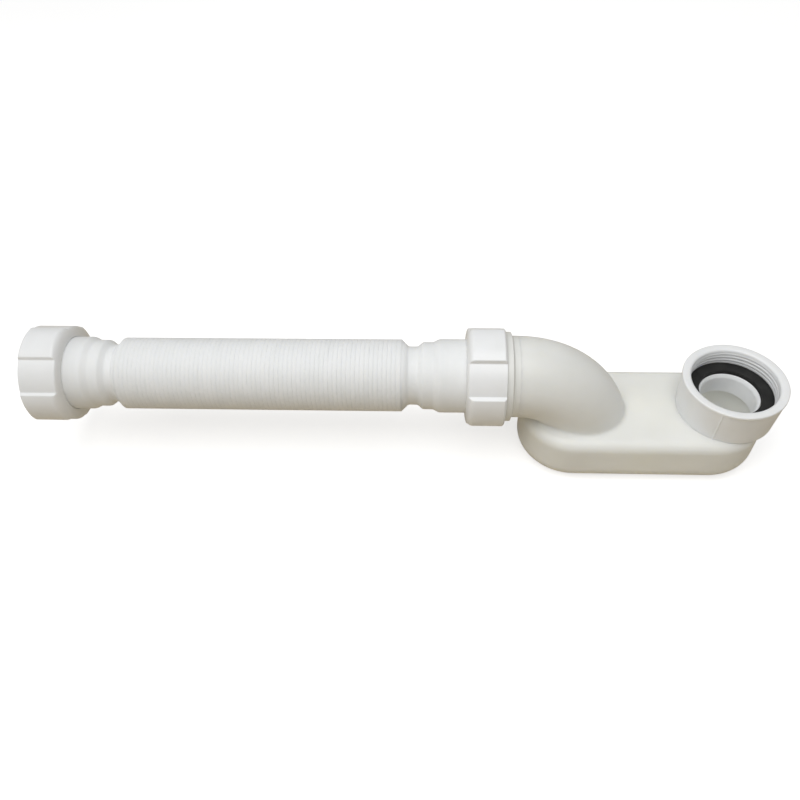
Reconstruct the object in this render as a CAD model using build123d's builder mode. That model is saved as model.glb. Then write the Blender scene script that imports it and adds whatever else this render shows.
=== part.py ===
# Low-profile waste trap with an extending hose, in millimetres.
# Origin: centre of the inlet mouth. +Z points up out of the inlet, the hose leaves towards -X.
from build123d import *
from math import cos, radians, sin
import os

os.makedirs("parts", exist_ok=True)

# Pipe thread shared by the inlet and both union nuts
thread_radius = 23.9
thread_clearance = 0.3
thread_relief = 0.5

# How closely a radius must match for its edge to be picked
radius_match = 0.01

# Inlet socket
socket_height = 23.1
socket_wall = 5.1
socket_taper = 1.6
socket_lip_height = 1.8
socket_lip_step = 0.4
socket_lip_round = 0.6
inlet_thread_length = 9.6
seat_depth = 13.4
seat_thickness = 3.0
socket_skirt = 3.0
neck_radius = 17.1
neck_wall = 1.7
neck_upstand = 0.8
weld_gap = 0.15

# Rubber washers
washer_clearance = 0.3
inlet_washer_thickness = 3.2
union_washer_thickness = 2.5
union_washer_width = 4.4

# Chamber
chamber_half_width = 31.5
chamber_arc_spacing = 77.9
chamber_height = 32.0
chamber_wall = 2.6
chamber_top_round = 6.0
chamber_bottom_round = 11.0
inlet_from_end_arc = 9.3

# Elbow and outlet spigot
outlet_axis_z = 1.0
tube_radius = 23.2
tube_wall = 2.8
bend_radius = 45.2
elbow_inset = 9.6
collar_height = 1.8
collar_width = 2.9
collar_from_bend = 3.6
spigot_length = 15.2

# Union nuts
nut_length = 21.5
nut_wall = 5.4
nut_lug_height = 2.1
nut_shoulder = 3.0
nut_shoulder_round = 3.6
nut_mouth_chamfer = 0.8
nut_mouth_bevel = 1.2
nut_thread_length = 13.0
nut_lug_count = 4
nut_recess_angle = 32.0
nut_recess_facing = 40.6
nut_recess_overcut = 1.05
nut_hole_clearance = 0.3
nut_seat_gap = 0.2

# Hose
cuff_radius = 21.0
trap_cuff_length = 18.2
outlet_cuff_length = 13.0
cuff_wall = 2.0
flange_clearance = 0.7
flange_thickness = 2.0
step_radius = 19.25
step_length = 5.8
step_slope = 3.4
hose_neck_radius = 16.7
hose_neck_wall = 1.7
neck_slope = 3.0
trap_neck_length = 5.2
outlet_neck_length = 3.6
bellows_radius = 20.65
bellows_length = 159.4
bellows_slope = 4.0
pleat_count = 40
pleat_depth = 2.0
bellows_bore_radius = 15.9

# Radii, heights and stations worked out from the sizes above
socket_rim_radius = thread_radius + socket_wall
socket_foot_radius = socket_rim_radius - socket_taper
chamber_top = -socket_height
chamber_bottom = chamber_top - chamber_height
chamber_mid_x = -inlet_from_end_arc - chamber_arc_spacing / 2
outlet_arc_x = -inlet_from_end_arc - chamber_arc_spacing
bend_end_x = outlet_arc_x + elbow_inset
bend_start_x = bend_end_x - bend_radius
collar_x = bend_start_x - collar_from_bend
spigot_root_x = collar_x - collar_width
spigot_end_x = spigot_root_x - spigot_length
spigot_radius = thread_radius - thread_clearance
collar_radius = spigot_radius + collar_height
flange_radius = thread_radius - flange_clearance
tube_bore_radius = tube_radius - tube_wall
relief_radius = thread_radius + thread_relief
washer_radius = relief_radius - washer_clearance
washer_bore_radius = spigot_radius - union_washer_width
hose_start_x = spigot_end_x - union_washer_thickness
union_seat_x = hose_start_x - flange_thickness - nut_seat_gap
union_nut_x = union_seat_x - nut_shoulder
nut_hole_radius = cuff_radius + nut_hole_clearance
nut_lug_radius = thread_radius + nut_wall
nut_recess_radius = nut_lug_radius - nut_lug_height


def ring_profile(inner_radius, outer_radius, start_x, end_x):
    """Half section of a flat ring about the outlet axis, drawn as x and radius."""
    return Polyline(
        (start_x, outlet_axis_z + inner_radius),
        (start_x, outlet_axis_z + outer_radius),
        (end_x, outlet_axis_z + outer_radius),
        (end_x, outlet_axis_z + inner_radius),
        close=True,
    )


def on_outlet(points):
    """Move profile points of x and radius onto the outlet axis."""
    return [(x, outlet_axis_z + radius) for x, radius in points]


outlet_axis = Axis((0, 0, outlet_axis_z), (1, 0, 0))


# Hollow of the chamber, elbow and outlet, cut from the trap body
with BuildPart() as cavity:
    with BuildSketch(Plane.XY.offset(chamber_bottom + chamber_wall)):
        with Locations((chamber_mid_x, 0)):
            SlotCenterToCenter(chamber_arc_spacing, 2 * (chamber_half_width - chamber_wall))
    extrude(amount=chamber_height - 2 * chamber_wall)
    fillet(cavity.edges().group_by(Axis.Z)[-1], chamber_top_round - chamber_wall)
    fillet(cavity.edges().group_by(Axis.Z)[0], chamber_bottom_round - chamber_wall)
    with BuildLine(Plane.XZ) as bore_path:
        Line((spigot_end_x, outlet_axis_z), (bend_start_x, outlet_axis_z))
        JernArc((bend_start_x, outlet_axis_z), (1, 0), bend_radius, -90)
    with BuildSketch(Plane(origin=(spigot_end_x, 0, outlet_axis_z), z_dir=(1, 0, 0))):
        Circle(tube_bore_radius)
    sweep(path=bore_path.line)
    with BuildSketch(Plane.XY.offset(chamber_top)):
        Circle(neck_radius + weld_gap)
    extrude(amount=-(chamber_wall + weld_gap))

# Blow-moulded trap body: oblong chamber, elbow, collar and threaded spigot in one piece
with BuildPart() as trap_body:
    with BuildSketch(Plane.XY.offset(chamber_bottom)):
        with Locations((chamber_mid_x, 0)):
            SlotCenterToCenter(chamber_arc_spacing, 2 * chamber_half_width)
    extrude(amount=chamber_height)
    fillet(trap_body.edges().group_by(Axis.Z)[-1], chamber_top_round)
    fillet(trap_body.edges().group_by(Axis.Z)[0], chamber_bottom_round)
    with BuildLine(Plane.XZ) as tube_path:
        Line((collar_x, outlet_axis_z), (bend_start_x, outlet_axis_z))
        JernArc((bend_start_x, outlet_axis_z), (1, 0), bend_radius, -90)
    with BuildSketch(Plane(origin=(collar_x, 0, outlet_axis_z), z_dir=(1, 0, 0))):
        Circle(tube_radius)
    sweep(path=tube_path.line)
    with BuildSketch(Plane.XZ):
        with BuildLine():
            ring_profile(tube_bore_radius, collar_radius, collar_x, spigot_root_x)
        make_face()
    revolve(axis=outlet_axis)
    with BuildSketch(Plane.XZ):
        with BuildLine():
            ring_profile(tube_bore_radius, spigot_radius, spigot_root_x, spigot_end_x)
        make_face()
    revolve(axis=outlet_axis)
    add(cavity.part, mode=Mode.SUBTRACT)
trap_body.part.label = "trap_body"
export_step(trap_body.part, "parts/trap_body.step")

# Injection-moulded inlet socket: threaded cup, washer seat, neck and cored underside
seat_z = -seat_depth
floor_underside = seat_z - seat_thickness
neck_bore_radius = neck_radius - neck_wall
lip_z = -socket_lip_height
wall_radius = socket_rim_radius - socket_lip_step
with BuildPart() as inlet_socket:
    with BuildSketch(Plane.XZ):
        with BuildLine():
            Polyline(
                (thread_radius, 0),
                (socket_rim_radius, 0),
                (socket_rim_radius, lip_z),
                (wall_radius, lip_z - socket_lip_step),
                (socket_foot_radius, chamber_top),
                (socket_foot_radius - socket_skirt, chamber_top),
                (wall_radius - socket_skirt, floor_underside),
                (neck_radius, floor_underside),
                (neck_radius, chamber_top - chamber_wall),
                (neck_bore_radius, chamber_top - chamber_wall),
                (neck_bore_radius, seat_z + neck_upstand),
                (neck_radius, seat_z + neck_upstand),
                (neck_radius, seat_z),
                (relief_radius, seat_z),
                (relief_radius, -inlet_thread_length),
                (thread_radius, -inlet_thread_length),
                close=True,
            )
        make_face()
    revolve(axis=Axis.Z)
    rim_edges = inlet_socket.edges().filter_by(GeomType.CIRCLE)
    lip_edges = rim_edges.filter_by(lambda edge: abs(edge.radius - socket_rim_radius) < radius_match)
    fillet(lip_edges, socket_lip_round)
inlet_socket.part.label = "inlet_socket"
export_step(inlet_socket.part, "parts/inlet_socket.step")

# Flat rubber washer on the seat of the socket, round the upstand of the neck
with BuildPart() as inlet_washer:
    with BuildSketch(Plane.XY.offset(seat_z)):
        Circle(washer_radius)
        Circle(neck_radius + washer_clearance, mode=Mode.SUBTRACT)
    extrude(amount=inlet_washer_thickness)
inlet_washer.part.label = "inlet_washer"
export_step(inlet_washer.part, "parts/inlet_washer.step")

# Hose: flanged cuffs, stepped necks and a run of pleats, moulded as one piece
step_run = step_slope + step_length + neck_slope
trap_end_run = flange_thickness + trap_cuff_length + step_run + trap_neck_length
outlet_end_run = flange_thickness + outlet_cuff_length + step_run + outlet_neck_length
bellows_start_x = hose_start_x - trap_end_run - bellows_slope
bellows_end_x = bellows_start_x - bellows_length
hose_end_x = bellows_end_x - bellows_slope - outlet_end_run


def cuff_profile(end_x, inward, cuff_length, neck_length):
    """Outer points of x and radius from the end face of a cuff to the foot of its neck."""
    flange_x = end_x + inward * flange_thickness
    cuff_x = flange_x + inward * cuff_length
    step_x = cuff_x + inward * step_slope
    step_end_x = step_x + inward * step_length
    neck_x = step_end_x + inward * neck_slope
    return [
        (end_x, flange_radius),
        (flange_x, flange_radius),
        (flange_x, cuff_radius),
        (cuff_x, cuff_radius),
        (step_x, step_radius),
        (step_end_x, step_radius),
        (neck_x, hose_neck_radius),
        (neck_x + inward * neck_length, hose_neck_radius),
    ]


def bore_profile(end_x, inward, cuff_length):
    """Inner points of x and radius from the end face of a cuff to the bellows."""
    cuff_x = end_x + inward * (flange_thickness + cuff_length)
    neck_x = cuff_x + inward * step_run
    return [
        (end_x, cuff_radius - cuff_wall),
        (cuff_x, cuff_radius - cuff_wall),
        (neck_x, hose_neck_radius - hose_neck_wall),
    ]


pleat_pitch = bellows_length / pleat_count
pleats = [(bellows_start_x, bellows_radius)]
for index in range(pleat_count):
    crest_x = bellows_start_x - index * pleat_pitch
    pleats.append((crest_x - pleat_pitch / 2, bellows_radius - pleat_depth))
    pleats.append((crest_x - pleat_pitch, bellows_radius))

hose_outline = cuff_profile(hose_start_x, -1, trap_cuff_length, trap_neck_length) + pleats
hose_outline += cuff_profile(hose_end_x, 1, outlet_cuff_length, outlet_neck_length)[::-1]
hose_outline += bore_profile(hose_end_x, 1, outlet_cuff_length)
hose_outline += [(bellows_end_x, bellows_bore_radius), (bellows_start_x, bellows_bore_radius)]
hose_outline += bore_profile(hose_start_x, -1, trap_cuff_length)[::-1]

with BuildPart() as hose:
    with BuildSketch(Plane.XZ):
        with BuildLine():
            Polyline(*on_outlet(hose_outline), close=True)
        make_face()
    revolve(axis=outlet_axis)
hose.part.label = "hose"
export_step(hose.part, "parts/hose.step")

# Washers that the two nuts press against the flanges of the hose
with BuildPart() as union_washer:
    with BuildSketch(Plane.XZ):
        with BuildLine():
            ring_profile(washer_bore_radius, washer_radius, hose_start_x, spigot_end_x)
        make_face()
    revolve(axis=outlet_axis)
union_washer.part.label = "union_washer"
export_step(union_washer.part, "parts/union_washer.step")

outlet_washer_x = hose_end_x - union_washer_thickness
with BuildPart() as outlet_washer:
    with BuildSketch(Plane.XZ):
        with BuildLine():
            ring_profile(washer_bore_radius, washer_radius, outlet_washer_x, hose_end_x)
        make_face()
    revolve(axis=outlet_axis)
outlet_washer.part.label = "outlet_washer"
export_step(outlet_washer.part, "parts/outlet_washer.step")


# One flat-bottomed recess between two lugs, with flanks that slope at 45 degrees
half_floor = radians(nut_recess_angle / 2)
recess_rise = nut_lug_height + nut_recess_overcut
recess_top = nut_recess_radius + recess_rise
half_top = half_floor + recess_rise / nut_lug_radius
floor_end = (nut_recess_radius * cos(half_floor), nut_recess_radius * sin(half_floor))
top_end = (recess_top * cos(half_top), recess_top * sin(half_top))
floor_start = (floor_end[0], -floor_end[1])
top_start = (top_end[0], -top_end[1])
with BuildSketch() as lug_recess:
    with BuildLine():
        ThreePointArc(floor_start, (nut_recess_radius, 0), floor_end)
        Line(floor_end, top_end)
        ThreePointArc(top_end, (recess_top, 0), top_start)
        Line(top_start, floor_start)
    make_face()


def nut_profile(back_x, inward):
    """Half section of a union nut from its hose-side face at back_x to its open end."""
    seat_x = back_x + inward * nut_shoulder
    mouth_x = back_x + inward * nut_length
    thread_x = mouth_x - inward * nut_thread_length
    return on_outlet(
        [
            (back_x, nut_hole_radius),
            (back_x, nut_lug_radius),
            (mouth_x - inward * nut_mouth_bevel, nut_lug_radius),
            (mouth_x, nut_lug_radius - nut_mouth_bevel),
            (mouth_x, thread_radius + nut_mouth_chamfer),
            (mouth_x - inward * nut_mouth_chamfer, thread_radius),
            (thread_x, thread_radius),
            (thread_x, relief_radius),
            (seat_x, relief_radius),
            (seat_x, nut_hole_radius),
        ]
    )


def shoulder_edge(nut, back_x):
    """Outer edge of the hose-side face of a nut."""
    circles = nut.edges().filter_by(GeomType.CIRCLE)
    lug_circles = circles.filter_by(lambda edge: abs(edge.radius - nut_lug_radius) < radius_match)
    return lug_circles.sort_by(lambda edge: abs(edge.center().X - back_x))[0]


# Union nut between the hose and the spigot: rounded shoulder, four lugs and plain thread bore
with BuildPart() as union_nut:
    with BuildSketch(Plane.XZ):
        with BuildLine():
            Polyline(*nut_profile(union_nut_x, 1), close=True)
        make_face()
    revolve(axis=outlet_axis)
    fillet(shoulder_edge(union_nut, union_nut_x), nut_shoulder_round)
    with BuildSketch(Plane(origin=(union_nut_x, 0, outlet_axis_z), x_dir=(0, -1, 0), z_dir=(-1, 0, 0))):
        with PolarLocations(0, nut_lug_count, nut_recess_facing):
            add(lug_recess.sketch)
    extrude(amount=-nut_length, mode=Mode.SUBTRACT)
union_nut.part.label = "union_nut"
export_step(union_nut.part, "parts/union_nut.step")

# Outlet nut at the free end of the hose, the same moulding turned round
outlet_nut_x = hose_end_x + flange_thickness + nut_seat_gap + nut_shoulder
with BuildPart() as outlet_nut:
    with BuildSketch(Plane.XZ):
        with BuildLine():
            Polyline(*nut_profile(outlet_nut_x, -1), close=True)
        make_face()
    revolve(axis=outlet_axis)
    fillet(shoulder_edge(outlet_nut, outlet_nut_x), nut_shoulder_round)
    with BuildSketch(Plane(origin=(outlet_nut_x, 0, outlet_axis_z), x_dir=(0, -1, 0), z_dir=(-1, 0, 0))):
        with PolarLocations(0, nut_lug_count, nut_recess_facing):
            add(lug_recess.sketch)
    extrude(amount=nut_length, mode=Mode.SUBTRACT)
outlet_nut.part.label = "outlet_nut"
export_step(outlet_nut.part, "parts/outlet_nut.step")
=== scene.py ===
import math
import random

import bmesh
import bpy
from mathutils import Matrix, Vector


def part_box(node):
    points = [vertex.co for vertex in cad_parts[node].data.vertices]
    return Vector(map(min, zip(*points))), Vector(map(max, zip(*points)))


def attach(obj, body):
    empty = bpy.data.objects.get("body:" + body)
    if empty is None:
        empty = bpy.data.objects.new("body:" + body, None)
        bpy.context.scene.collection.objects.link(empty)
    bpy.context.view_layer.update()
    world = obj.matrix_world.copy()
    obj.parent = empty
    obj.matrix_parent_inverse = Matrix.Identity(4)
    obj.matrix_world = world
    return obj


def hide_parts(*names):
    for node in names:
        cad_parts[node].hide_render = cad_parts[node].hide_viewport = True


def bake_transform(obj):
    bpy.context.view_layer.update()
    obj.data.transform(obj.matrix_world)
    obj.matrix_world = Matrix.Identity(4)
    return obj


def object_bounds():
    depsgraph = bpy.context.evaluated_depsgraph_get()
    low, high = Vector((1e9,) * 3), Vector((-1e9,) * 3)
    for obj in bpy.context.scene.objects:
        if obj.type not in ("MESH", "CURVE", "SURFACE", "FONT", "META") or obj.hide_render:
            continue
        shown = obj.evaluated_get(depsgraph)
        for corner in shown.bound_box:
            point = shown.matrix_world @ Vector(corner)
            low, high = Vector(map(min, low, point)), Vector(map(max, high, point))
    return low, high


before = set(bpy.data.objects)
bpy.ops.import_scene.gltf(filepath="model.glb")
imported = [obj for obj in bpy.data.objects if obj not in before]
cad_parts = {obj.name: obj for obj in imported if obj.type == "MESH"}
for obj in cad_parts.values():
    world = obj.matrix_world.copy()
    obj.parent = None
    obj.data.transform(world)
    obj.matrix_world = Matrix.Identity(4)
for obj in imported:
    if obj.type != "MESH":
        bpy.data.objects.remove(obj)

cadBox = [list(corner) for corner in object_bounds()]
mm = 0.001
outletZ = (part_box("hose")[0].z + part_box("hose")[1].z) / 2 / mm  # height of the hose axis
print("frame loaded:", len(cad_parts), "nodes")


# small helpers for every turned piece, all sizes in millimetres
def smoothStep(t):
    t = max(0.0, min(1.0, t))
    return t * t * (3 - 2 * t)


def fullTurn(count):
    return [2 * math.pi * i / count for i in range(count)]


def aroundInlet(radius, station, angle):  # station is the height
    return Vector((radius * math.cos(angle), radius * math.sin(angle), station)) * mm


def aroundOutlet(radius, station, angle):  # angle 0 faces the front, 90 degrees faces up
    return Vector((station, -radius * math.cos(angle), outletZ + radius * math.sin(angle))) * mm


def softCorners(corners, steps=4):
    # each corner is radius, station, rounding and what the stretch after it is made of
    rows = []
    for i, (radius, station, rounding, kind) in enumerate(corners):
        here = Vector((radius, station))
        before = Vector(corners[i - 1][:2]) - here
        after = Vector(corners[(i + 1) % len(corners)][:2]) - here
        kindBefore = corners[i - 1][3]
        if rounding <= 0:
            rows.append((radius, station, kind if kind == kindBefore else "plain"))
            continue
        cutBefore = before.normalized() * min(rounding, before.length * 0.49)
        cutAfter = after.normalized() * min(rounding, after.length * 0.49)
        for step in range(steps + 1):
            t = step / steps
            spot = here + cutBefore * (1 - t) ** 2 + cutAfter * t ** 2
            rows.append((spot.x, spot.y, kindBefore if t < 0.5 else kind))
    return rows


def denseRows(rows, kind, spacing):
    # adds rows along the stretches of one kind, so that its shape can be cut in
    dense = []
    for i, row in enumerate(rows):
        dense.append(row)
        nextRow = rows[(i + 1) % len(rows)]
        if row[2] == kind and nextRow[2] == kind:
            count = int(math.hypot(nextRow[0] - row[0], nextRow[1] - row[1]) / spacing)
            for step in range(1, count):
                t = step / count
                dense.append((row[0] + (nextRow[0] - row[0]) * t, row[1] + (nextRow[1] - row[1]) * t, kind))
    return dense


def meshFromRings(name, rings):
    count = len(rings[0])
    verts = [spot for ring in rings for spot in ring]
    faces = []
    for i in range(len(rings)):
        low, high = i * count, ((i + 1) % len(rings)) * count
        for j in range(count):
            k = (j + 1) % count
            faces.append((low + j, low + k, high + k, high + j))
    mesh = bpy.data.meshes.new(name)
    mesh.from_pydata(verts, [], faces)
    work = bmesh.new()
    work.from_mesh(mesh)
    bmesh.ops.recalc_face_normals(work, faces=work.faces)
    work.to_mesh(mesh)
    work.free()
    mesh.shade_smooth()
    return mesh


def turned(name, rows, angles, place, shapes=None):
    # turns a closed section about its axis; a shape changes the radius of rows of its kind
    shapes = shapes or {}
    rings = []
    for radius, station, kind in rows:
        shape = shapes.get(kind)
        ring = []
        for angle in angles:
            ring.append(place(shape(radius, station, angle) if shape else radius, station, angle))
        rings.append(ring)
    return meshFromRings(name, rings)


def addPiece(name, mesh, body, material, node):
    piece = bpy.data.objects.new(name, mesh)
    bpy.context.scene.collection.objects.link(piece)
    mesh.materials.clear()
    mesh.materials.append(material)
    if body:
        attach(piece, body)
    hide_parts(node)
    return piece


# pipe thread on the inlet, the nuts and the spigot
pipeThread = {
    "rootRadius": 23.9, "pitch": 2.309, "fade": 1.6, "rootShare": 0.22, "flankShare": 0.56, "rowSpacing": 0.2,
}


def onThread(radius, threadRadius):
    return abs(radius - threadRadius) < 0.01


def threadShape(depth, low, high):
    # helical turns towards the axis between two stations, fading out at both ends
    t = pipeThread

    def shape(radius, station, angle):
        phase = (station / t["pitch"] + angle / (2 * math.pi)) % 1.0
        ridge = smoothStep((abs(phase * 2 - 1) - t["rootShare"]) / t["flankShare"])
        ends = smoothStep((station - low) / t["fade"]) * smoothStep((high - station) / t["fade"])
        return radius - depth * ridge * ends
    return shape


# materials
def shaderTree(name):
    material = bpy.data.materials.new(name)
    material.use_nodes = True
    nodes = material.node_tree.nodes
    return material, nodes, material.node_tree.links, nodes["Principled BSDF"]


def noiseField(nodes, links, scale, detail, stretch=(1, 1, 1)):
    spot = nodes.new("ShaderNodeTexCoord")
    mapping = nodes.new("ShaderNodeMapping")
    mapping.inputs["Scale"].default_value = stretch
    noise = nodes.new("ShaderNodeTexNoise")
    noise.inputs["Scale"].default_value = scale
    noise.inputs["Detail"].default_value = detail
    links.new(spot.outputs["Object"], mapping.inputs["Vector"])
    links.new(mapping.outputs["Vector"], noise.inputs["Vector"])
    return noise.outputs["Fac"]


def tintBetween(nodes, links, field, dark, light, low=0.35, high=0.65):
    ramp = nodes.new("ShaderNodeValToRGB")
    ramp.color_ramp.elements[0].position = low
    ramp.color_ramp.elements[1].position = high
    ramp.color_ramp.elements[0].color = (*dark, 1)
    ramp.color_ramp.elements[1].color = (*light, 1)
    links.new(field, ramp.inputs["Fac"])
    return ramp.outputs["Color"]


def spread(nodes, links, field, low, high, fieldLow=0.3, fieldHigh=0.7):
    span = nodes.new("ShaderNodeMapRange")
    span.inputs["From Min"].default_value = fieldLow
    span.inputs["From Max"].default_value = fieldHigh
    span.inputs["To Min"].default_value = low
    span.inputs["To Max"].default_value = high
    links.new(field, span.inputs["Value"])
    return span.outputs["Result"]


def reliefFrom(nodes, links, field, strength, depth):
    bump = nodes.new("ShaderNodeBump")
    bump.inputs["Strength"].default_value = strength
    bump.inputs["Distance"].default_value = depth
    links.new(field, bump.inputs["Height"])
    return bump.outputs["Normal"]


noiseDetail = {"cloud": 3.0, "grain": 2.0}


def plasticFinish(name, look):
    # slow clouds in tint and sheen, and a fine moulded grain
    material, nodes, links, shader = shaderTree(name)
    cloud = noiseField(nodes, links, look["cloudScale"], noiseDetail["cloud"], look["cloudStretch"])
    grain = noiseField(nodes, links, look["grainScale"], noiseDetail["grain"])
    links.new(tintBetween(nodes, links, cloud, look["dark"], look["light"]), shader.inputs["Base Color"])
    links.new(spread(nodes, links, cloud, *look["roughness"]), shader.inputs["Roughness"])
    relief = reliefFrom(nodes, links, grain, look["grainStrength"], look["grainDepth"])
    links.new(relief, shader.inputs["Normal"])
    shader.inputs["Subsurface Weight"].default_value = look["milk"]
    shader.inputs["Subsurface Radius"].default_value = look["milkRadius"]
    shader.inputs["Subsurface Scale"].default_value = look["milkScale"]
    shader.inputs["Specular IOR Level"].default_value = look["gloss"]
    return material


bodyLook = {
    "dark": (0.745, 0.75, 0.72), "light": (0.775, 0.78, 0.755), "roughness": (0.36, 0.46), "gloss": 0.45,
    "cloudScale": 35, "cloudStretch": (1, 1, 1.6),
    "grainScale": 600, "grainStrength": 0.03, "grainDepth": 0.0003,
    "milk": 0.6, "milkRadius": (1.0, 0.95, 0.82), "milkScale": 0.004,
}
spigotLook = {**bodyLook, "milk": 0.0}
mouldedLook = {
    "dark": (0.79, 0.80, 0.80), "light": (0.815, 0.825, 0.83), "roughness": (0.28, 0.36), "gloss": 0.5,
    "cloudScale": 60, "cloudStretch": (1, 1, 1),
    "grainScale": 800, "grainStrength": 0.02, "grainDepth": 0.0002,
    "milk": 0.1, "milkRadius": (1.0, 0.95, 0.85), "milkScale": 0.0015,
}
socketLook = {**mouldedLook, "milk": 0.3, "milkScale": 0.003}
hoseLook = {
    "dark": (0.765, 0.78, 0.78), "light": (0.795, 0.805, 0.805), "roughness": (0.46, 0.6), "gloss": 0.35,
    "cloudScale": 50, "cloudStretch": (3, 1, 1),
    "grainScale": 1100, "grainStrength": 0.05, "grainDepth": 0.0003,
    "milk": 0.15, "milkRadius": (1.0, 0.95, 0.8), "milkScale": 0.0015,
}
rubberLook = {
    "dark": (0.006, 0.006, 0.006), "light": (0.016, 0.016, 0.015), "roughness": (0.5, 0.7), "gloss": 0.35,
    "cloudScale": 150, "cloudStretch": (1, 1, 1),
    "grainScale": 1500, "grainStrength": 0.2, "grainDepth": 0.0003,
    "milk": 0.0, "milkRadius": (1.0, 1.0, 1.0), "milkScale": 0.001,
}
milkyPlastic = plasticFinish("milkyPlastic", bodyLook)
satinPlastic = plasticFinish("satinPlastic", mouldedLook)
socketPlastic = plasticFinish("socketPlastic", socketLook)
spigotPlastic = plasticFinish("spigotPlastic", spigotLook)
hosePlastic = plasticFinish("hosePlastic", hoseLook)
washerRubber = plasticFinish("washerRubber", rubberLook)
print("materials made")


# inlet socket, turned about the inlet axis
socketSizes = {
    "height": 23.1, "rimRadius": 29.0, "rimEdge": 0.8, "leadIn": 2.0,
    "lipHeight": 1.8, "lipStep": 0.4, "lipEdge": 0.6,
    "footRadius": 27.4, "footSink": 0.5, "skirt": 3.0, "edge": 0.3, "innerCorner": 0.6,
    "threadStart": 1.8, "threadDepth": 0.42, "threadLength": 10.3,
    "reliefRadius": 24.4, "reliefSlope": 0.3, "reliefEdge": 0.2, "seatDepth": 13.4, "seatThickness": 3.0,
    "neckRadius": 17.1, "neckWall": 1.7, "neckUpstand": 0.8, "neckReach": 2.6,
    "neckEdge": 0.7, "neckBevel": 2.0, "neckBevelEdge": 0.5,
    "seamAngle": -117.0, "seamWidth": 1.5, "seamHeight": 0.28,
    "segments": 180, "seamSteps": 5, "seamStep": 0.3, "seamClear": 1.8, "wallRows": 2.0,
}


def socketAngles(s):
    # even steps all round, and fine steps over the two mould seams
    seams = [math.radians(s["seamAngle"] + turn) for turn in (0, 180)]
    fineStep = math.radians(s["seamStep"])
    fine = [seam + fineStep * i for seam in seams for i in range(-s["seamSteps"], s["seamSteps"] + 1)]
    clear = math.radians(s["seamClear"])
    coarse = [a for a in fullTurn(s["segments"])
              if all(abs((a - seam + math.pi) % (2 * math.pi) - math.pi) > clear for seam in seams)]
    return sorted(a % (2 * math.pi) for a in coarse + fine)


def inletSocket():
    s = socketSizes
    t = pipeThread
    edge = s["edge"]
    foot = -s["height"] - s["footSink"]
    wallRadius = s["rimRadius"] - s["lipStep"]
    underside = -s["seatDepth"] - s["seatThickness"]
    neckFoot = -s["height"] - s["neckReach"]
    neckBore = s["neckRadius"] - s["neckWall"]
    neckTop = -s["seatDepth"] + s["neckUpstand"]
    corners = [
        (t["rootRadius"], 0, s["leadIn"], "plain"),
        (s["rimRadius"], 0, s["rimEdge"], "plain"),
        (s["rimRadius"], -s["lipHeight"], s["lipEdge"], "plain"),
        (wallRadius, -s["lipHeight"] - s["lipStep"], edge, "wall"),
        (s["footRadius"], foot, edge, "plain"),
        (s["footRadius"] - s["skirt"], foot, edge, "plain"),
        (wallRadius - s["skirt"], underside, s["innerCorner"], "plain"),
        (s["neckRadius"], underside, s["innerCorner"], "plain"),
        (s["neckRadius"], neckFoot, edge, "plain"),
        (neckBore, neckFoot, edge, "plain"),
        (neckBore, neckTop - s["neckBevel"], s["neckBevelEdge"], "plain"),
        (s["neckRadius"] - s["neckEdge"], neckTop, edge, "plain"),
        (s["neckRadius"], neckTop, edge, "plain"),
        (s["neckRadius"], -s["seatDepth"], 0, "plain"),
        (s["reliefRadius"], -s["seatDepth"], edge, "plain"),
        (s["reliefRadius"], -s["threadLength"] - s["reliefSlope"], s["reliefEdge"], "plain"),
        (t["rootRadius"], -s["threadLength"], 0, "thread"),
    ]
    rows = softCorners(corners)
    rows[-1] = (rows[-1][0], rows[-1][1], "thread")
    rows[0] = (rows[0][0], rows[0][1], "thread")
    rows = denseRows(rows, "thread", t["rowSpacing"])
    rows = denseRows(rows, "wall", s["wallRows"])

    def seamShape(radius, station, angle):
        # two fine mould seams, half a turn apart
        fromSeam = math.degrees(angle) - s["seamAngle"]
        away = min(abs((fromSeam - turn + 180) % 360 - 180) for turn in (0, 180))
        fall = smoothStep(math.radians(away) * radius / (s["seamWidth"] / 2))
        return radius + s["seamHeight"] * (1 - fall)

    shapes = {
        "thread": threadShape(s["threadDepth"], -s["threadLength"], -s["threadStart"]),
        "wall": seamShape,
    }
    mesh = turned("inletSocket", rows, socketAngles(s), aroundInlet, shapes)
    addPiece("inletSocket", mesh, "trap", socketPlastic, "inlet_socket")


inletSocket()
print("inlet socket made")


# flat rubber washers
washerSizes = {"rounding": 0.45, "segments": 160, "inletBore": 17.4, "hoseBore": 19.2}


def washer(name, node, body, bore, place, axis):
    low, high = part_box(node)
    radius = (high.y - low.y) / 2 / mm
    start, end = low[axis] / mm, high[axis] / mm
    r = washerSizes["rounding"]
    rows = softCorners([(bore, start, r, "plain"), (bore, end, r, "plain"),
                        (radius, end, r, "plain"), (radius, start, r, "plain")])
    mesh = turned(name, rows, fullTurn(washerSizes["segments"]), place)
    addPiece(name, mesh, body, washerRubber, node)


washer("inletWasher", "inlet_washer", "trap", washerSizes["inletBore"], aroundInlet, 2)
washer("unionWasher", "union_washer", "trap", washerSizes["hoseBore"], aroundOutlet, 0)
washer("outletWasher", "outlet_washer", "outlet_end", washerSizes["hoseBore"], aroundOutlet, 0)
print("washers made")


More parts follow.
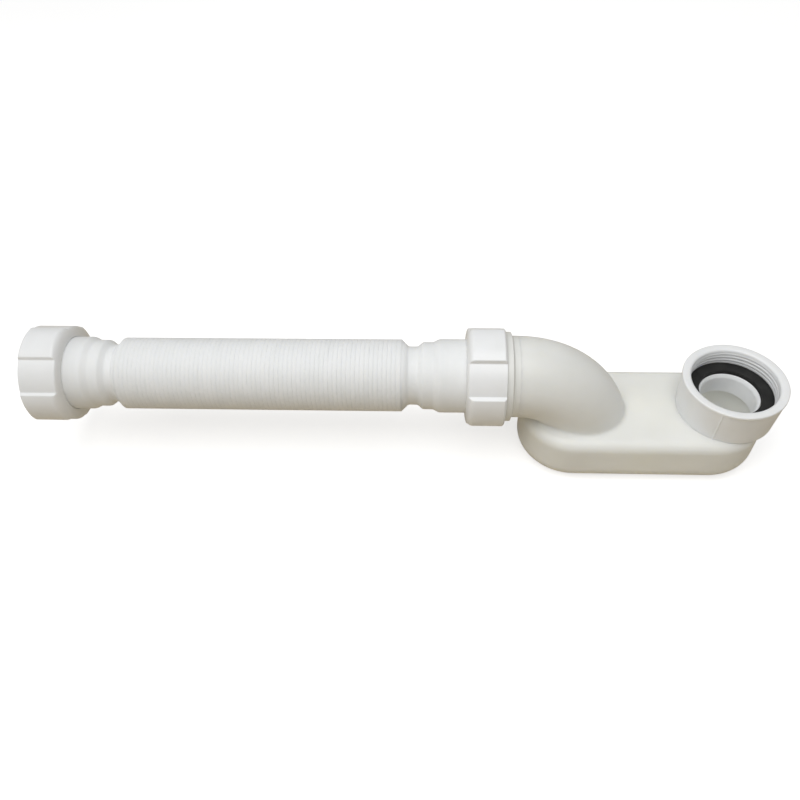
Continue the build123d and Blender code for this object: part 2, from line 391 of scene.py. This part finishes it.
# union nuts: rounded shoulder on the hose side, four lugs, threaded bore
nutSizes = {
    "lugRadius": 29.3, "recessRadius": 27.2, "length": 21.5, "shoulder": 3.0,
    "shoulderRise": 6.0, "shoulderRun": 4.2, "shoulderSteps": 8, "holeRadius": 21.1, "holeEdge": 0.5,
    "reliefRadius": 24.4, "reliefSlope": 0.4, "reliefEdge": 0.2, "threadLength": 13.0,
    "mouthChamfer": 0.8, "mouthBevel": 1.2, "mouthEdge": 0.4, "boreEdge": 0.3,
    "lugs": 4, "recessAngle": 39.0, "flankSlope": 0.6, "recessFacing": 40.6,
    "edgeSoftness": 0.3, "runOut": 0.25, "lugReach": 1.0, "lugRows": 2.5, "cornerSteps": 6,
    "recessSteps": 12, "flankSteps": 14, "flankMargin": 1.0, "lugSteps": 16,
    "unionThread": 0.35, "unionLugDrop": 0.1, "outletThread": 0.7, "outletLugDrop": 0.9,
}


def flankAngle(n):
    return math.degrees(n["flankSlope"] * (n["lugRadius"] - n["recessRadius"]) / n["lugRadius"])


def nutAngles(n):
    # one recess and one lug in degrees, with fine steps over the flanks, then repeated all round
    margin = n["flankMargin"]
    half = n["recessAngle"] / 2
    floor = [-half + n["recessAngle"] * i / n["recessSteps"] for i in range(1, n["recessSteps"])]
    flankRun = flankAngle(n) + 2 * margin
    flank = [half - margin + flankRun * i / n["flankSteps"] for i in range(n["flankSteps"] + 1)]
    period = 360 / n["lugs"]
    lugEnd = half - margin + flankRun
    lug = [lugEnd + (period - 2 * lugEnd) * i / n["lugSteps"] for i in range(1, n["lugSteps"])]
    floor = [a for a in floor if abs(a) < half - margin]
    local = sorted({round(a, 4) for a in floor + flank + [-a for a in flank] + lug})
    return [math.radians(n["recessFacing"] + k * period + a) for k in range(n["lugs"]) for a in local]


def lugShape(n, lugDrop):
    period = 360 / n["lugs"]
    half = n["recessAngle"] / 2
    flank = flankAngle(n)
    soft, runOut = n["edgeSoftness"], n["runOut"]

    def shape(radius, station, angle):
        away = abs((math.degrees(angle) - n["recessFacing"] + period / 2) % period - period / 2)
        upFlank = (away - half) / flank
        if soft <= upFlank <= 1 - soft:
            rise = upFlank
        else:
            near = min(upFlank, 1 - upFlank)
            rise = max(0.0, near + soft) ** 2 / (4 * soft)
            rise = rise if upFlank < 0.5 else 1 - rise
        fromCrown = (period / 2 - away) / (period / 2 - half)
        crown = n["lugRadius"] - lugDrop * fromCrown ** 2
        limit = n["recessRadius"] + (crown - n["recessRadius"]) * rise
        # soft minimum, so that the recess runs out over the shoulder with a soft edge
        gap = max(0.0, runOut - abs(radius - limit)) / runOut
        return min(radius, limit) - gap * gap * runOut / 4
    return shape


def lugNut(name, node, inward, threadDepth, lugDrop):
    n = nutSizes
    t = pipeThread
    low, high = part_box(node)
    back = (low.x if inward > 0 else high.x) / mm
    mouth = back + inward * n["length"]
    seat = back + inward * n["shoulder"]
    threadEnd = mouth - inward * n["threadLength"]
    chamfer = n["mouthChamfer"]
    corners = [(n["holeRadius"], back, n["holeEdge"], "plain")]
    for step in range(n["shoulderSteps"] + 1):
        turn = math.pi / 2 * step / n["shoulderSteps"]
        rise = n["shoulderRise"] * (1 - math.sin(turn))
        run = n["shoulderRun"] * (1 - math.cos(turn))
        corners.append((n["lugRadius"] - rise, back + inward * run, 0, "lug"))
    corners += [
        (n["lugRadius"], mouth - inward * n["mouthBevel"], n["mouthEdge"], "lug"),
        (n["lugRadius"] - n["mouthBevel"], mouth, n["mouthEdge"], "plain"),
        (t["rootRadius"] + chamfer, mouth, n["boreEdge"], "plain"),
        (t["rootRadius"], mouth - inward * chamfer, 0, "thread"),
        (t["rootRadius"], threadEnd, 0, "thread"),
        (n["reliefRadius"], threadEnd - inward * n["reliefSlope"], n["reliefEdge"], "plain"),
        (n["reliefRadius"], seat, n["boreEdge"], "plain"),
        (n["holeRadius"], seat, n["boreEdge"], "plain"),
    ]
    rows = []
    for radius, station, kind in softCorners(corners, n["cornerSteps"]):
        if radius > n["recessRadius"] - n["lugReach"]:
            kind = "lug"
        elif onThread(radius, t["rootRadius"]):
            kind = "thread"
        rows.append((radius, station, kind))
    rows = denseRows(denseRows(rows, "thread", t["rowSpacing"]), "lug", n["lugRows"])
    shapes = {
        "lug": lugShape(n, lugDrop),
        "thread": threadShape(threadDepth, min(mouth, threadEnd), max(mouth, threadEnd)),
    }
    mesh = turned(name, rows, nutAngles(n), aroundOutlet, shapes)
    addPiece(name, mesh, node, satinPlastic, node)


# each nut is a body of its own, named as its node
lugNut("unionNut", "union_nut", 1, nutSizes["unionThread"], nutSizes["unionLugDrop"])
lugNut("outletNut", "outlet_nut", -1, nutSizes["outletThread"], nutSizes["outletLugDrop"])
print("nuts made")


# trap body: a soft blown skin from the chamber to the elbow, and a turned collar and spigot at its end
bodySizes = {"weld": 0.002, "voxel": 0.9, "smoothTurns": 6, "smoothing": 0.5, "skinStart": 2.8}
spigotSizes = {
    "length": 15.2, "radius": 23.4, "boreRadius": 20.3, "boreEdge": 0.4, "threadDepth": 0.9,
    "collarRadius": 25.4, "collarWidth": 2.9, "collarRound": 0.35, "collarGrow": 1.25, "collarTrim": 0.7,
    "fillet": 1.1, "filletSteps": 6, "tubeRadius": 23.22, "skirtOverlap": 0.5, "skirtEdge": 0.08,
    "segments": 160,
}
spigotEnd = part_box("trap_body")[0].x / mm
spigotRoot = spigotEnd + spigotSizes["length"]
collarEnd = spigotRoot + spigotSizes["collarWidth"]
skinEnd = collarEnd + bodySizes["skinStart"]


def softenedCopy(node):
    b = bodySizes
    skin = bpy.data.objects.new("skinSource", node.data.copy())
    bpy.context.scene.collection.objects.link(skin)
    work = bmesh.new()
    work.from_mesh(skin.data)
    bmesh.ops.remove_doubles(work, verts=work.verts, dist=b["weld"] * mm)
    work.to_mesh(skin.data)
    work.free()
    remesh = skin.modifiers.new("blownSkin", "REMESH")
    remesh.mode = "VOXEL"
    remesh.voxel_size = b["voxel"] * mm
    soften = skin.modifiers.new("soften", "SMOOTH")
    soften.factor = b["smoothing"]
    soften.iterations = b["smoothTurns"]
    depsgraph = bpy.context.evaluated_depsgraph_get()
    mesh = bpy.data.meshes.new_from_object(skin.evaluated_get(depsgraph))
    bpy.data.objects.remove(skin)
    return mesh


def trapBody():
    # the skin stops behind the collar, where the turned end takes over
    mesh = softenedCopy(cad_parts["trap_body"])
    work = bmesh.new()
    work.from_mesh(mesh)
    everything = work.verts[:] + work.edges[:] + work.faces[:]
    cutAt, towardsNut = (skinEnd * mm, 0, 0), (-1, 0, 0)
    bmesh.ops.bisect_plane(work, geom=everything, plane_co=cutAt, plane_no=towardsNut, clear_outer=True)
    rim = [edge for edge in work.edges if edge.is_boundary]
    bmesh.ops.bridge_loops(work, edges=rim)
    bmesh.ops.recalc_face_normals(work, faces=work.faces)
    work.to_mesh(mesh)
    work.free()
    mesh.shade_smooth()
    mesh.name = "trapBody"
    addPiece("trapBody", mesh, "trap", milkyPlastic, "trap_body")


def outletSpigot():
    s = spigotSizes
    collarFace = spigotRoot - s["collarGrow"]
    collarEdge = collarEnd - s["collarTrim"]
    skirtEnd = skinEnd + s["skirtOverlap"]
    corners = [
        (s["boreRadius"], skirtEnd, 0, "plain"),
        (s["tubeRadius"], skirtEnd, s["skirtEdge"], "plain"),
    ]
    for step in range(s["filletSteps"], 0, -1):
        share = step / s["filletSteps"]
        rise = (s["collarRadius"] - s["tubeRadius"]) * (1 - share) ** 2
        corners.append((s["tubeRadius"] + rise, collarEdge + s["fillet"] * share, 0, "plain"))
    corners += [
        (s["collarRadius"], collarEdge, s["collarRound"], "plain"),
        (s["collarRadius"], collarFace, s["collarRound"], "plain"),
        (s["radius"], collarFace, 0, "thread"),
        (s["radius"], spigotEnd, 0, "thread"),
        (s["boreRadius"], spigotEnd, s["boreEdge"], "plain"),
    ]
    rows = []
    for radius, station, kind in softCorners(corners):
        rows.append((radius, station, "thread" if onThread(radius, s["radius"]) else kind))
    rows = denseRows(rows, "thread", pipeThread["rowSpacing"])
    shapes = {"thread": threadShape(s["threadDepth"], spigotEnd, collarFace)}
    mesh = turned("outletSpigot", rows, fullTurn(s["segments"]), aroundOutlet, shapes)
    addPiece("outletSpigot", mesh, "trap", spigotPlastic, "trap_body")


trapBody()
outletSpigot()
print("trap body and spigot made")


# hose: flanged cuffs, stepped necks and closed pleats, in two lengths that meet at a still ring
hoseSizes = {
    "flangeRadius": 23.2, "flange": 2.0, "cuffRadius": 21.0, "cuffWall": 2.0,
    "trapCuff": 18.2, "outletCuff": 13.0, "stepRadius": 19.25, "stepLength": 5.8, "stepSlope": 3.4,
    "neckRadius": 16.7, "neckWall": 1.7, "neckSlope": 3.0, "trapNeck": 5.2, "outletNeck": 3.6,
    "bellowsSlope": 4.0, "bellowsRadius": 20.65, "bellowsLength": 159.4,
    "endEdge": 0.5, "flangeEdge": 0.4, "flangeRoot": 0.3, "stepRound": 0.9, "neckRound": 0.8,
    "pleats": 64, "trapPleats": 29, "pleatDepth": 2.0, "gap": 0.01, "gapMean": 0.55, "gapSwing": 0.45,
    "gapShift": 0.05, "crestShift": 0.012, "wall": 1.1, "boreFold": 0.9, "segments": 128,
    "seed": 7, "waveParts": 3, "waveTurns": 7, "waveLeast": 0.3,
}
# share of the pitch, drop under the crest, distance from the gap in gap widths
pleatSection = [
    (0.0, -0.2, 1), (0.0, -0.01, 4), (0.0, 0.0, 12), (0.5, 0.0, 0),
    (1.0, 0.0, -12), (1.0, -0.01, -4), (1.0, -0.2, -1),
]


def pleatWaves(h):
    # slow waves round each pleat: how open its gap is, how it wanders and how high its crest stands
    draw = random.Random(h["seed"])

    def part():
        height = draw.uniform(h["waveLeast"], 1.0)
        turns = draw.randint(1, h["waveTurns"])
        return height, turns, draw.uniform(0, 2 * math.pi)

    return [[[part() for _ in range(h["waveParts"])] for _ in range(3)] for _ in range(h["pleats"] + 1)]


def wave(parts, angle):
    return sum(a * math.sin(k * angle + p) for a, k, p in parts) / sum(a for a, _, _ in parts)


def cuffCorners(h, end, inward, cuff, neck):
    flangeX = end + inward * h["flange"]
    cuffX = flangeX + inward * cuff
    stepX = cuffX + inward * h["stepSlope"]
    stepEnd = stepX + inward * h["stepLength"]
    neckX = stepEnd + inward * h["neckSlope"]
    neckEnd = neckX + inward * neck
    bellowsX = neckEnd + inward * h["bellowsSlope"]
    cuffBore, neckBore = h["cuffRadius"] - h["cuffWall"], h["neckRadius"] - h["neckWall"]
    stepRound, neckRound = h["stepRound"], h["neckRound"]
    outer = [
        (h["flangeRadius"], end, h["endEdge"]), (h["flangeRadius"], flangeX, h["flangeEdge"]),
        (h["cuffRadius"], flangeX, h["flangeRoot"]), (h["cuffRadius"], cuffX, stepRound),
        (h["stepRadius"], stepX, stepRound), (h["stepRadius"], stepEnd, neckRound),
        (h["neckRadius"], neckX, neckRound), (h["neckRadius"], neckEnd, neckRound),
        (h["bellowsRadius"], bellowsX, 0),
    ]
    inner = [
        (cuffBore, end, h["endEdge"]), (cuffBore, cuffX, neckRound),
        (neckBore, neckX, neckRound), (neckBore, neckEnd, 0),
    ]
    return outer, inner, bellowsX


def openRows(points):
    rows = softCorners([(r, s, rounding, "plain") for r, s, rounding in points])
    return [(r, s) for r, s, _ in rows]


def hoseLength(name, end, inward, cuff, neck, gaps):
    # gaps are the waves of the pleat gaps, from the neck to the still ring
    h = hoseSizes
    outer, inner, bellowsX = cuffCorners(h, end, inward, cuff, neck)
    angles = fullTurn(h["segments"])
    pitch = h["bellowsLength"] / h["pleats"]
    crest, root = h["bellowsRadius"], h["bellowsRadius"] - h["pleatDepth"]
    rings = [[aroundOutlet(r, s, a) for a in angles] for r, s in openRows(inner[::-1] + outer)]
    bore = []
    lastPleat = len(gaps) - 2
    for step in range(len(gaps) - 1):
        start = bellowsX + inward * step * pitch
        foldX = start + inward * pitch
        for share, drop, side in pleatSection:
            near = gaps[step] if share < 0.5 else gaps[step + 1]
            still = share == 0.5 or (share == 0.0 and step == 0) or (share == 1.0 and step == lastPleat)
            ring = []
            for a in angles:
                opening = h["gap"] * (h["gapMean"] + h["gapSwing"] * wave(near[0], a))
                shift = 0.0 if still else h["gapShift"] * wave(near[1], a)
                along = share * pitch + shift + side * opening
                radius = crest + drop + h["crestShift"] * wave(gaps[step][2], a)
                ring.append(aroundOutlet(radius, start + inward * along, a))
            rings.append(ring)
        shifts = [0.0 if step == lastPleat else h["gapShift"] * wave(gaps[step + 1][1], a) for a in angles]
        rings.append([aroundOutlet(root, foldX + inward * shift, a) for a, shift in zip(angles, shifts)])
        bore.append((root - h["wall"] + h["boreFold"], start + inward * pitch / 2))
        bore.append((root - h["wall"], foldX))
    rings += [[aroundOutlet(r, s, a) for a in angles] for r, s in bore[::-1]]
    return meshFromRings(name, rings)


def hose():
    h = hoseSizes
    low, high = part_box("hose")
    trapEnd, outletEnd = high.x / mm, low.x / mm
    waves = pleatWaves(h)
    nearGaps = waves[:h["trapPleats"] + 1]
    nearMesh = hoseLength("hoseTrapSide", trapEnd, -1, h["trapCuff"], h["trapNeck"], nearGaps)
    near = addPiece("hoseTrapSide", nearMesh, None, hosePlastic, "hose")
    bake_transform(near)
    farGaps = waves[h["trapPleats"]:][::-1]
    farMesh = hoseLength("hoseOutletSide", outletEnd, 1, h["outletCuff"], h["outletNeck"], farGaps)
    far = addPiece("hoseOutletSide", farMesh, None, hosePlastic, "hose")
    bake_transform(far)


hose()
print("hose made")


# floor, light and camera
sceneSizes = {
    "floorSize": 6.0, "floorGlow": 0.62, "floorDark": (0.58, 0.58, 0.575), "floorLight": (0.60, 0.60, 0.595),
    "tableDark": (0.52, 0.44, 0.31), "tableLight": (0.56, 0.48, 0.35), "tableDrop": 0.001,
    "stageNoise": 3.0, "stageDetail": 2.0, "stageRoughness": 0.9,
    "skyTop": (1.0, 1.0, 1.0), "skyLow": (0.75, 0.74, 0.72), "skyStrength": 0.38, "skyBlend": (0.0, 0.9),
    "boxPlace": (-0.22, -0.20, 0.85), "boxPower": 5.4, "boxSize": 0.8,
    "sidePlace": (-0.99, -0.22, 0.75), "sideStrength": 0.55, "sideSpread": 40.0,
    "lampAim": (-0.19, 0.0, 0.0),
    "insidePlace": (-0.05, 0.0, -0.038), "insidePower": 0.011, "insideRadius": 0.008,
}
cameraSizes = {
    "place": (-170.34, -295.51, 307.00), "aim": (-190.14, 0.0, -20.04), "roll": -0.0390103,
    "lens": 33.364, "sensor": 36.0, "clipStart": 0.01,
}


def aimed(place, aim, roll=0.0):
    place, aim = Vector(place), Vector(aim)
    forward = (aim - place).normalized()
    side = forward.cross(Vector((0, 0, 1))).normalized()
    up = side.cross(forward)
    tiltSide = side * math.cos(roll) + up * math.sin(roll)
    tiltUp = up * math.cos(roll) - side * math.sin(roll)
    turn = Matrix((tiltSide, tiltUp, -forward)).transposed().to_4x4()
    return Matrix.Translation(place) @ turn


def stagePlane(name, z, dark, light, glow):
    material, nodes, links, shader = shaderTree(name)
    s = sceneSizes
    field = noiseField(nodes, links, s["stageNoise"], s["stageDetail"])
    links.new(tintBetween(nodes, links, field, dark, light), shader.inputs["Base Color"])
    shader.inputs["Roughness"].default_value = s["stageRoughness"]
    shader.inputs["Emission Color"].default_value = (1, 1, 1, 1)
    shader.inputs["Emission Strength"].default_value = glow
    half = s["floorSize"] / 2
    mesh = bpy.data.meshes.new(name)
    corners = [(-half, -half, z), (half, -half, z), (half, half, z), (-half, half, z)]
    mesh.from_pydata(corners, [], [(0, 1, 2, 3)])
    mesh.materials.append(material)
    plane = bpy.data.objects.new(name, mesh)
    bpy.context.scene.collection.objects.link(plane)
    return plane


def paleFloor():
    # the pale floor is what shows, and a warm table just under it sends light back up
    s = sceneSizes
    floor = stagePlane("floor", cadBox[0][2], s["floorDark"], s["floorLight"], s["floorGlow"])
    floor.visible_diffuse = False
    floor.visible_glossy = False
    floor.visible_transmission = False
    floor.visible_shadow = False
    table = stagePlane("table", cadBox[0][2] - s["tableDrop"], s["tableDark"], s["tableLight"], 0.0)
    table.visible_camera = False


def addLamp(name, kind, power, place):
    lamp = bpy.data.lights.new(name, kind)
    lamp.energy = power
    holder = bpy.data.objects.new(name, lamp)
    bpy.context.scene.collection.objects.link(holder)
    holder.matrix_world = place
    return lamp


def softLight():
    s = sceneSizes
    world = bpy.data.worlds.new("studio")
    world.use_nodes = True
    bpy.context.scene.world = world
    nodes, links = world.node_tree.nodes, world.node_tree.links
    spot = nodes.new("ShaderNodeTexCoord")
    split = nodes.new("ShaderNodeSeparateXYZ")
    links.new(spot.outputs["Generated"], split.inputs["Vector"])
    sky = tintBetween(nodes, links, split.outputs["Z"], s["skyLow"], s["skyTop"], *s["skyBlend"])
    links.new(sky, nodes["Background"].inputs["Color"])
    nodes["Background"].inputs["Strength"].default_value = s["skyStrength"]
    softBox = addLamp("softBox", "AREA", s["boxPower"], aimed(s["boxPlace"], s["lampAim"]))
    softBox.size = s["boxSize"]
    sideLight = addLamp("sideLight", "SUN", s["sideStrength"], aimed(s["sidePlace"], s["lampAim"]))
    sideLight.angle = math.radians(s["sideSpread"])
    # stands in for the daylight that comes through the milky walls of the chamber
    insideGlow = addLamp("insideGlow", "POINT", s["insidePower"], Matrix.Translation(s["insidePlace"]))
    insideGlow.shadow_soft_size = s["insideRadius"]


def photoCamera():
    c = cameraSizes
    lens = bpy.data.cameras.new("camera")
    lens.lens = c["lens"]
    lens.sensor_width = c["sensor"]
    lens.clip_start = c["clipStart"]
    camera = bpy.data.objects.new("camera", lens)
    bpy.context.scene.collection.objects.link(camera)
    camera.matrix_world = aimed(Vector(c["place"]) * mm, Vector(c["aim"]) * mm, c["roll"])
    bpy.context.scene.camera = camera
    bpy.context.scene.view_settings.view_transform = "Standard"


paleFloor()
softLight()
photoCamera()
print("stage, light and camera made")
